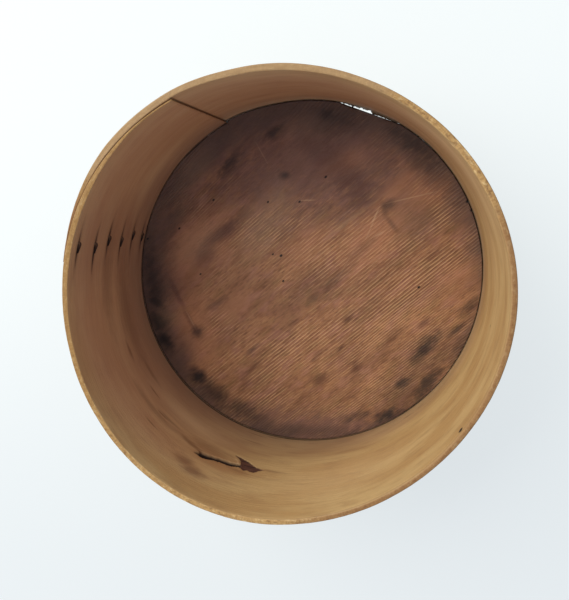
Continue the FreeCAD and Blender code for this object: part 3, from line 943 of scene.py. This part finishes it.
BLACK_MARKS = (
    board_mark(-106.6, -17.2, 6.5, 4, -46, 0.9), board_mark(-105.8, -30.6, 8.5, 6, -51, 0.95),
    board_mark(-103, -45, 7.5, 4.5, -55, 0.95), board_mark(-108, -8, 30, 6, -84, 0.6),
    board_mark(-79, -71.6, 6.5, 5, -35, 0.95), board_mark(-66.8, -83.8, 12, 6, -40, 0.7),
    board_mark(-46.6, -95.8, 16, 6, -26, 0.6), board_mark(80.8, -48, 12.5, 4.6, 47, 0.85),
    board_mark(84.6, -43.5, 4, 3, 50, 0.6), board_mark(100, -36, 7, 2.0, 37, 0.7),
    board_mark(65.3, -72.8, 6.5, 4.4, 29, 0.85), board_mark(81.6, -73.3, 16, 5.5, 53, 0.85),
    board_mark(56.3, -95.8, 9.5, 4.2, 31, 0.9), board_mark(33.8, -97.4, 10, 3, 22, 0.55),
    board_mark(108.8, -20.4, 7, 3.5, 44, 0.6), board_mark(0, -110, 46, 4, 0, 0.4),
    board_mark(104, -52, 16, 7, 60, 0.5), board_mark(72, -76, 36, 13, 44, 0.45),
)
# Holes in the board, painted dark for the shade inside them, since the board's mesh has no pits
HOLE_PLACES = (
    (-60.9, 54.2, 0.9), (-23, 51.8, 0.9), (-1.6, 51.4, 0.9), (-15.4, 15.5, 1.1), (-86.5, 35.4, 0.9),
    (-110.2, 28.7, 0.9), (16.3, 67, 1.0), (-73.1, 3.3, 0.8), (-14.5, -1.9, 0.9), (76.3, -6.6, 1.1),
    (106.4, 48.6, 1.3), (109.0, 43.0, 1.1), (-21, 16.5, 0.8),
)
HOLES = tuple(board_mark(x, y, half, 0.7 * half, 40) for x, y, half in HOLE_PLACES)
BROWN_FLECKS = (
    board_mark(29.3, -28.6, 4, 1.6, 44, 0.7), board_mark(23.4, -49.6, 3.5, 1.5, 48, 0.7),
    board_mark(34.3, -62.1, 4, 2.4, 60, 0.7), board_mark(9.4, -71.7, 6, 3, 44, 0.75),
    board_mark(80.3, -30.3, 5, 2, 44, 0.6), board_mark(60, -40, 8, 2.4, 42, 0.45),
    board_mark(-38, -63, 7, 3, 42, 0.5), board_mark(-8, -31, 5, 1.6, 46, 0.5),
    board_mark(-45, -77, 6, 2, 42, 0.45), board_mark(8, -54, 5, 1.8, 50, 0.45),
    board_mark(-28, -3, 9, 3, 42, 0.35), board_mark(-20, -22, 8, 3, 30, 0.35),
    board_mark(50, -14, 10, 2.4, 42, 0.35), board_mark(56, 2, 18, 6, 42, 0.3),
    board_mark(-2, -84, 10, 3, 38, 0.4), board_mark(30, -84, 9, 2.4, 34, 0.4),
    board_mark(26, -50, 14, 6, 42, 0.3), board_mark(0, -2, 14, 6, 42, 0.3),
)
OLIVE_PATCH = (board_mark(70, 42, 19, 16, 0, 0.5), board_mark(38, 44, 26, 5, 24, 0.2))
# Copper zones of the board; those on its left are painted light, lifting the shadow that the wall casts there
COPPER_AND_PAINTED_LIGHT_ZONES = (
    board_mark(48, 28, 24, 11, 44, 0.6), board_mark(60, 55, 26, 5, 44, 0.45),
    board_mark(80, 57, 17, 10, 30, 0.5), board_mark(-73, 22, 26, 14, 45, 0.6),
    board_mark(-77, -38, 24, 13, 95, 0.5), board_mark(-52, -22, 16, 8, 40, 0.35),
    board_mark(4, 24, 16, 8, 40, 0.4), board_mark(28, 75, 12, 6, 20, 0.35),
    board_mark(101, 0, 14, 8, 44, 0.35),
)
PATCH_EDGE = (board_mark(54.2, 44.6, 5.5, 1.9, -78, 0.45), board_mark(58.6, 35.6, 6.5, 1.6, -54, 0.45))
PALE_SCRATCHES = (
    board_mark(48, 40.3, 4.6, 0.5, 63, 0.55), board_mark(45.6, 34, 8, 0.45, 66, 0.35),
    board_mark(50.8, 29, 3.4, 0.5, 29, 0.4), board_mark(72.2, 52.2, 13, 0.4, 12, 0.35),
    board_mark(3.8, 52.2, 4.4, 0.4, 0, 0.4), board_mark(28, 36, 18, 1.2, 36, 0.15),
    board_mark(29, 10, 14, 0.4, 60, 0.15), board_mark(-26, 84, 7, 0.4, -62, 0.15),
    board_mark(-82.4, -29, 6, 0.5, -64, 0.25),
)
# Pale patches on the left and far parts of the board: painted light where the wall's shadow falls
PAINTED_LIGHT_PATCHES = (
    board_mark(-75, 25, 16, 9, 40, 0.2), board_mark(-25, 38, 24, 12, 60, 0.2),
    board_mark(-73, 75, 16, 8, 50, 0.11), board_mark(-99, -26, 10, 8, 90, 0.12),
    board_mark(2, 98, 14, 7, 0, 0.07),
)

# Broad tints of the board, and the stains over its dark margin, each list in the order in which it lies; the
# copper zones on the left and the pale patches are painted light, and the holes are painted shade
BOARD_ZONES = (
    ("6F4F48", PURPLE_ZONES, 0.7, 1.1),
    ("C28660", COPPER_AND_PAINTED_LIGHT_ZONES, 1.0, 0.8),
    ("53322B", RED_ZONES, 0.8, 1.0),
)
BOARD_STAINS = (
    ("5A3626", BROWN_FLECKS, 1.0, 1.1),
    ("342622", SMUDGES, 0.9, 1.1),
    ("231C1B", BLACK_MARKS, 0.9, 1.1),
    ("4A3428", PATCH_EDGE, 0.8, 0.2),
    # Pale scratches, and the pale patches of painted light
    ("D2AA84", PALE_SCRATCHES + PAINTED_LIGHT_PATCHES, 0.8, 0.4),
    # Holes painted dark for the shade inside them
    ("160D0A", HOLES, 0.5, 0.2),
)


def make_board_wood():
    """Softwood with raised grain: copper brown, purple-brown to the far side and black at iron and damp, with
    a painted highlight on its ribs and painted light where the wall shades its left.
    """
    material, recipe, shader = new_material("board_wood")
    place = recipe.attribute("board_place", "Vector")
    rib = recipe.attribute("rib")
    broad = recipe.grain(place, 60, 22, 3.0)
    streaks = recipe.grain(place, 17, 4, 4.0)
    flecks = recipe.grain(place, 6, 1.5, 2.0)
    fine = recipe.grain(place, 3.5, 0.5)
    tint = recipe.grain(place, 15, 7)
    broken = recipe.grain(place, 7, 2.4)
    frayed = recipe.fray(place, (120, 240, 240), 6.0, 0.65)

    colour = recipe.mix(recipe.between(broad, 0.35, 0.65), tone("A87651"), tone("8D6246"))
    colour = recipe.wash(colour, "6E4631", streaks, 0.45, 0.7, 0.5)
    colour = recipe.wash(colour, "5E3A29", flecks, 0.48, 0.72, 0.5)
    colour = recipe.wash(colour, "6C4430", fine, 0.48, 0.72, 0.45)
    colour = recipe.wash(colour, "A87462", tint, 0.5, 0.68, 0.4)
    colour = recipe.wash(colour, "86683F", tint, 0.48, 0.3, 0.35)
    colour = recipe.stains(colour, place, frayed, [("745740", OLIVE_PATCH, 0.7, 0.6)])
    # Pale tops of the ribs, broken up along them: a painted highlight
    painted_rib_highlight = recipe.math("MULTIPLY", rib, recipe.between(broken, 0.36, 0.6, 0.6, 1.2))
    colour = recipe.wash(colour, "DCAE80", painted_rib_highlight, 0.1, 0.9, 0.55)
    colour = recipe.stains(colour, place, frayed, BOARD_ZONES)

    # The margin has darkened round a cleaner middle
    away = recipe.vector("LENGTH", recipe.vector("SUBTRACT", place, CLEAN_MIDDLE), (0, 0, 0), "Value")
    away = recipe.math("ADD", away, recipe.math("MULTIPLY", recipe.math("SUBTRACT", broad, 0.5), 30 * MM))
    colour = recipe.wash(colour, "54443E", away, 96 * MM, 120 * MM, 0.75)
    colour = recipe.stains(colour, place, frayed, BOARD_STAINS)
    # A near-black line along the board's edge in the joint: dirt, and painted shade of the crevice
    colour = recipe.wash(colour, "1A1412", recipe.attribute("edge"), 0.8 * MM, 0.1 * MM, 0.9)

    under = recipe.mix(recipe.between(broad, 0.35, 0.65), tone("8F6D4E"), tone("7A5A3F"))
    under = recipe.wash(under, "4F3928", streaks, 0.45, 0.7, 0.6)
    under = recipe.wash(under, "3E2C20", fine, 0.5, 0.75, 0.4)
    under = recipe.wash(under, "42342A", away, 70 * MM, 130 * MM, 0.6)
    colour = recipe.mix(recipe.attribute("underside"), colour, under)
    recipe.feed(shader["Base Color"], colour)
    recipe.feed(shader["Roughness"], recipe.between(streaks, 0.2, 0.8, *WOOD_ROUGHNESS))
    shader["Specular IOR Level"].default_value = WOOD_GLOSS
    recipe.feed(shader["Normal"], recipe.bump(fine, 0.3 * MM))
    return material


def make_iron(name, point_height=None):
    """Old wrought iron, blackened and browned by rust.

    The sides of a clenched point at the given height are as brown as the stained wood that they are sunk in.
    """
    material, recipe, shader = new_material(name)
    place = recipe.node("TexCoord").outputs["Object"]
    rust = recipe.noise(place, detail=4, scale=900)
    colour = recipe.mix(recipe.between(rust, 0.4, 0.65), tone("1B1614"), tone("3A251B"))
    if point_height is not None:
        from_axis = recipe.vector("LENGTH", recipe.vector("MULTIPLY", place, (1, 1, 0)), (0, 0, 0), "Value")
        height = recipe.node("SeparateXYZ", {0: place}).outputs["Z"]
        off_line = recipe.math("ABSOLUTE", recipe.math("SUBTRACT", height, point_height))
        sides = recipe.between(off_line, 0.35 * MM, 0.75 * MM)
        inwards = recipe.between(from_axis, INSIDE_MEAN + 0.4 * MM, INSIDE_MEAN + 1 * MM, 0.9, 0.0)
        colour = recipe.mix(recipe.math("MULTIPLY", sides, inwards), colour, tone("A87C5C"))
    recipe.feed(shader["Base Color"], colour)
    recipe.feed(shader["Roughness"], recipe.between(rust, 0.3, 0.7, 0.5, 0.85))
    shader["Metallic"].default_value = 0.4
    recipe.feed(shader["Normal"], recipe.bump(rust, 0.2 * MM))
    return material


# Build the pieces

wall = make_wall()
wall.data.materials.append(make_wall_wood())
board = make_board()
board.data.materials.append(make_board_wood())
brad_iron = make_iron("brad_iron")
for name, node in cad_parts.items():
    if name.startswith("base_brad"):
        node.data.materials.clear()
        node.data.materials.append(brad_iron)
    elif name.startswith("lap_tack"):
        node.data.materials.clear()
        node.data.materials.append(make_iron(f"{name}_iron", on_outside(name)[1]))


# The floor, the light and the camera

FLOOR_SIDE = 4.0
FLOOR_DROP = 0.3 * MM
FLOOR_NEAR = -250 * MM
FLOOR_FAR = 150 * MM
KEY_TURN = 141
KEY_RISE = 43
KEY_DISTANCE = 1.2
KEY_SIDE = 1.1
KEY_POWER = 14.5
KEY_COLOUR = (1.0, 0.98, 0.87)
SKY_STRENGTH = 0.57
SKY_COLOUR = (0.90, 0.96, 1.13, 1.0)

# Share of the floor's own paleness that the camera sees past the box's foot; the rest is lit and shadowed.
# Under the box the camera sees the glow alone, painted light that shows white through the slit where the box
# shades the floor
PALE_SHARE = 0.72
FOOT_INSIDE = 117 * MM
FOOT_OUTSIDE = 118.4 * MM
CAMERA_AT = Vector((66.0, 64.4, 432.1)) * MM
CAMERA_AIM = Vector((-14.0, -15.1, 7.0)) * MM
LENS = 38.4
SENSOR = 36


def make_floor():
    """Pale floor that shows as pale to the camera and keeps a faint shadow past the box's foot. Its glow
    carries painted light: white under the box, where the box shades it, and greyer towards the near side.
    """
    half = FLOOR_SIDE / 2
    corners = [(x * half, y * half, -FLOOR_DROP) for x, y in ((-1, -1), (1, -1), (1, 1), (-1, 1))]
    mesh = bpy.data.meshes.new("floor")
    mesh.from_pydata(corners, [], [(0, 1, 2, 3)])
    floor = bpy.data.objects.new("floor", mesh)
    bpy.context.scene.collection.objects.link(floor)
    material, recipe, shader = new_material("floor")
    nodes = material.node_tree.nodes
    shader["Base Color"].default_value = tone("F2F4F4")
    shader["Roughness"].default_value = 0.9
    shader["Specular IOR Level"].default_value = 0.0
    place = recipe.node("TexCoord").outputs["Object"]
    # The floor's glow is greyer towards the near side and whiter towards the far side: a painted fall of light
    back = recipe.node("SeparateXYZ", {0: place}).outputs["Y"]
    pale = recipe.mix(recipe.between(back, FLOOR_NEAR, FLOOR_FAR), tone("EAF1F3"), tone("F8FFFF"))
    glow = recipe.node("Emission", {"Color": pale})
    # Under the box the camera sees the glow alone: painted light where the box shades the floor, seen through
    # the slit
    from_middle = recipe.vector("LENGTH", place, (0, 0, 0), "Value")
    own_share = recipe.between(from_middle, FOOT_INSIDE, FOOT_OUTSIDE, 1.0, PALE_SHARE)
    rays = recipe.node("LightPath").outputs
    mirrored = recipe.math("ADD", rays["Is Glossy Ray"], rays["Is Transmission Ray"])
    seen = recipe.math("ADD", rays["Is Camera Ray"], mirrored, clamp=True)
    share = recipe.math("MULTIPLY", seen, own_share)
    both = recipe.node("MixShader", {0: share, 1: nodes["Principled BSDF"].outputs[0], 2: glow.outputs[0]})
    recipe.feed(nodes["Material Output"].inputs["Surface"], both.outputs[0])
    mesh.materials.append(material)


def add_area(name, turn, rise, distance, side, power, colour):
    """Square lamp that looks at the middle of the box from a turn and a rise."""
    lamp = bpy.data.lights.new(name, "AREA")
    lamp.size = side
    lamp.energy = power
    lamp.color = colour
    around, above = math.radians(turn), math.radians(rise)
    way = Vector((math.cos(around) * math.cos(above), math.sin(around) * math.cos(above), math.sin(above)))
    holder = bpy.data.objects.new(name, lamp)
    holder.location = way * distance + Vector((0, 0, WALL_HEIGHT / 2))
    holder.rotation_euler = way.to_track_quat("Z", "Y").to_euler()
    bpy.context.scene.collection.objects.link(holder)


def set_world(strength, colour):
    """Even light from all round."""
    world = bpy.data.worlds.new("studio")
    world.use_nodes = True
    world.node_tree.nodes["Background"].inputs["Color"].default_value = colour
    world.node_tree.nodes["Background"].inputs["Strength"].default_value = strength
    bpy.context.scene.world = world


def add_camera():
    """Camera over the mouth, level with the picture's own sides."""
    camera = bpy.data.cameras.new("camera")
    camera.lens = LENS
    camera.sensor_width = SENSOR
    holder = bpy.data.objects.new("camera", camera)
    back = (CAMERA_AT - CAMERA_AIM).normalized()
    right = (Vector((1, 0, 0)) - back * back.x).normalized()
    turned = Matrix((right, back.cross(right), back)).transposed().to_4x4()
    holder.matrix_world = Matrix.Translation(CAMERA_AT) @ turned
    bpy.context.scene.collection.objects.link(holder)
    bpy.context.scene.camera = holder


make_floor()
add_area("key", KEY_TURN, KEY_RISE, KEY_DISTANCE, KEY_SIDE, KEY_POWER, KEY_COLOUR)
set_world(SKY_STRENGTH, SKY_COLOUR)
add_camera()
bpy.context.scene.view_settings.view_transform = "Standard"
